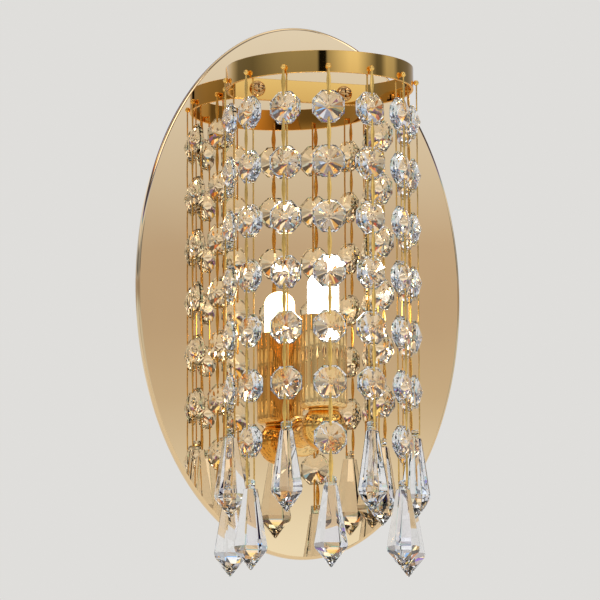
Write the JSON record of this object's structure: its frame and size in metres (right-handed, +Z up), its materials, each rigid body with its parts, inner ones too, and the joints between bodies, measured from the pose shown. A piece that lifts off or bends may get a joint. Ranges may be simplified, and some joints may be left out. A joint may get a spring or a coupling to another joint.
{
  "type": "crystal wall sconce",
  "caption": "Oval mirror-plated wall light: a projecting ring hung with strands of cut octagons and long drops, round an upright capsule bulb in a slim sleeve.",
  "frame": {"origin": "on the wall plane, behind the centre of the oval plate", "axes": "+Z up, -Y out of the wall towards the room, +X to the right seen from the room"},
  "size_m": [0.148, 0.0936, 0.2425],
  "materials": {
    "polished_gold": "mirror-polished pale gold plating",
    "gold_screws": "polished gold plating",
    "gold_wire": "bright gold wire",
    "cut_crystal": "clear cut crystal, polished facets",
    "bulb_glass": "clear glass, lit from inside",
    "filament": "glowing wire",
    "porcelain": "white glazed porcelain",
    "zinc_sheet": "zinc-plated sheet",
    "steel_hardware": "zinc-plated hardware",
    "brass_hardware": "plain brass",
    "grommet_rubber": "matt",
    "terminal_plastic": "white moulded plastic",
    "lead_insulation": "pale heat-proof sleeving"
  },
  "bodies": {
    "fixture": {"back_plate": "polished_gold", "wall_bracket": "zinc_sheet", "cable_grommet": "grommet_rubber", "rear_tray": "zinc_sheet", "tray_screws": "steel_hardware", "ring_band": "polished_gold", "ring_screws": "gold_screws", "ring_washers": "steel_hardware", "ring_nuts": "steel_hardware", "lamp_arm": "polished_gold", "arm_rosette": "polished_gold", "arm_washer": "steel_hardware", "arm_nut": "steel_hardware", "lamp_hub": "polished_gold", "neck_collar": "polished_gold", "lamp_nipple": "steel_hardware", "nipple_nut": "steel_hardware", "lamp_sleeve": "polished_gold", "sleeve_screw": "gold_screws", "holder_strap": "zinc_sheet", "holder_screws": "steel_hardware", "bulb_holder": "porcelain", "holder_contacts": "brass_hardware", "terminal_block": "terminal_plastic", "terminal_screws": "brass_hardware", "earth_screw": "brass_hardware", "lamp_leads": "lead_insulation"},
    "bulb": {"bulb_glass": "bulb_glass", "bulb_pins": "steel_hardware", "bulb_filament": "filament"},
    "strand_01": {"strand_01_octagons": "cut_crystal", "strand_01_links": "gold_wire"},
    "drop_01": {"strand_01_drop": "cut_crystal"},
    "strand_02": {"strand_02_octagons": "cut_crystal", "strand_02_links": "gold_wire"},
    "drop_02": {"strand_02_drop": "cut_crystal"},
    "strand_03": {"strand_03_octagons": "cut_crystal", "strand_03_links": "gold_wire"},
    "drop_03": {"strand_03_drop": "cut_crystal"},
    "strand_04": {"strand_04_octagons": "cut_crystal", "strand_04_links": "gold_wire"},
    "drop_04": {"strand_04_drop": "cut_crystal"},
    "strand_05": {"strand_05_octagons": "cut_crystal", "strand_05_links": "gold_wire"},
    "drop_05": {"strand_05_drop": "cut_crystal"},
    "strand_06": {"strand_06_octagons": "cut_crystal", "strand_06_links": "gold_wire"},
    "drop_06": {"strand_06_drop": "cut_crystal"},
    "strand_07": {"strand_07_octagons": "cut_crystal", "strand_07_links": "gold_wire"},
    "drop_07": {"strand_07_drop": "cut_crystal"},
    "strand_08": {"strand_08_octagons": "cut_crystal", "strand_08_links": "gold_wire"},
    "drop_08": {"strand_08_drop": "cut_crystal"},
    "strand_09": {"strand_09_octagons": "cut_crystal", "strand_09_links": "gold_wire"},
    "drop_09": {"strand_09_drop": "cut_crystal"},
    "strand_10": {"strand_10_octagons": "cut_crystal", "strand_10_links": "gold_wire"},
    "drop_10": {"strand_10_drop": "cut_crystal"}
  },
  "joints": [
    {"name": "bulb_pull", "type": "slide", "parent": "fixture", "child": "bulb", "axis": [0, 0, 1], "range_m": [0, 0.016]},
    {"name": "strand_01_swing", "type": "hinge", "parent": "fixture", "child": "strand_01", "pos_m": [-0.03459, -0.02771, 0.0861], "axis": [0.5023, 0.8647, 0], "range_deg": [-3, 0.1]},
    {"name": "drop_01_sway", "type": "hinge", "parent": "strand_01", "child": "drop_01", "pos_m": [-0.03459, -0.02771, -0.0897], "axis": [-0.8647, 0.5023, 0], "range_deg": [-6, 6]},
    {"name": "strand_02_swing", "type": "hinge", "parent": "fixture", "child": "strand_02", "pos_m": [-0.03993, -0.04539, 0.0861], "axis": [0.0602, 0.9982, 0], "range_deg": [-3, 15]},
    {"name": "drop_02_sway", "type": "hinge", "parent": "strand_02", "child": "drop_02", "pos_m": [-0.03993, -0.04539, -0.0663], "axis": [-0.9982, 0.0602, 0], "range_deg": [-6, 6]},
    {"name": "strand_03_swing", "type": "hinge", "parent": "fixture", "child": "strand_03", "pos_m": [-0.03675, -0.06359, 0.0861], "axis": [-0.3947, 0.9188, 0], "range_deg": [-3, 15]},
    {"name": "drop_03_sway", "type": "hinge", "parent": "strand_03", "child": "drop_03", "pos_m": [-0.03675, -0.06359, -0.0897], "axis": [-0.9188, -0.3947, 0], "range_deg": [-6, 6]},
    {"name": "strand_04_swing", "type": "hinge", "parent": "fixture", "child": "strand_04", "pos_m": [-0.02574, -0.07842, 0.0861], "axis": [-0.7655, 0.6435, 0], "range_deg": [-3, 15]},
    {"name": "drop_04_sway", "type": "hinge", "parent": "strand_04", "child": "drop_04", "pos_m": [-0.02574, -0.07842, -0.0663], "axis": [-0.6435, -0.7655, 0], "range_deg": [-6, 6]},
    {"name": "strand_05_swing", "type": "hinge", "parent": "fixture", "child": "strand_05", "pos_m": [-0.00924, -0.08672, 0.0861], "axis": [-0.973, 0.2309, 0], "range_deg": [-3, 15]},
    {"name": "drop_05_sway", "type": "hinge", "parent": "strand_05", "child": "drop_05", "pos_m": [-0.00924, -0.08672, -0.0897], "axis": [-0.2309, -0.973, 0], "range_deg": [-6, 6]},
    {"name": "strand_06_swing", "type": "hinge", "parent": "fixture", "child": "strand_06", "pos_m": [0.00924, -0.08672, 0.0861], "axis": [-0.973, -0.2309, 0], "range_deg": [-3, 15]},
    {"name": "drop_06_sway", "type": "hinge", "parent": "strand_06", "child": "drop_06", "pos_m": [0.00924, -0.08672, -0.0663], "axis": [0.2309, -0.973, 0], "range_deg": [-6, 6]},
    {"name": "strand_07_swing", "type": "hinge", "parent": "fixture", "child": "strand_07", "pos_m": [0.02574, -0.07842, 0.0861], "axis": [-0.7655, -0.6435, 0], "range_deg": [-3, 15]},
    {"name": "drop_07_sway", "type": "hinge", "parent": "strand_07", "child": "drop_07", "pos_m": [0.02574, -0.07842, -0.0897], "axis": [0.6435, -0.7655, 0], "range_deg": [-6, 6]},
    {"name": "strand_08_swing", "type": "hinge", "parent": "fixture", "child": "strand_08", "pos_m": [0.03675, -0.06359, 0.0861], "axis": [-0.3947, -0.9188, 0], "range_deg": [-3, 15]},
    {"name": "drop_08_sway", "type": "hinge", "parent": "strand_08", "child": "drop_08", "pos_m": [0.03675, -0.06359, -0.0663], "axis": [0.9188, -0.3947, 0], "range_deg": [-6, 6]},
    {"name": "strand_09_swing", "type": "hinge", "parent": "fixture", "child": "strand_09", "pos_m": [0.03993, -0.04539, 0.0861], "axis": [0.0602, -0.9982, 0], "range_deg": [-3, 15]},
    {"name": "drop_09_sway", "type": "hinge", "parent": "strand_09", "child": "drop_09", "pos_m": [0.03993, -0.04539, -0.0897], "axis": [0.9982, 0.0602, 0], "range_deg": [-6, 6]},
    {"name": "strand_10_swing", "type": "hinge", "parent": "fixture", "child": "strand_10", "pos_m": [0.03459, -0.02771, 0.0861], "axis": [0.5023, -0.8647, 0], "range_deg": [-3, 0.1]},
    {"name": "drop_10_sway", "type": "hinge", "parent": "strand_10", "child": "drop_10", "pos_m": [0.03459, -0.02771, -0.0663], "axis": [0.8647, 0.5023, 0], "range_deg": [-6, 0.5]}
  ]
}
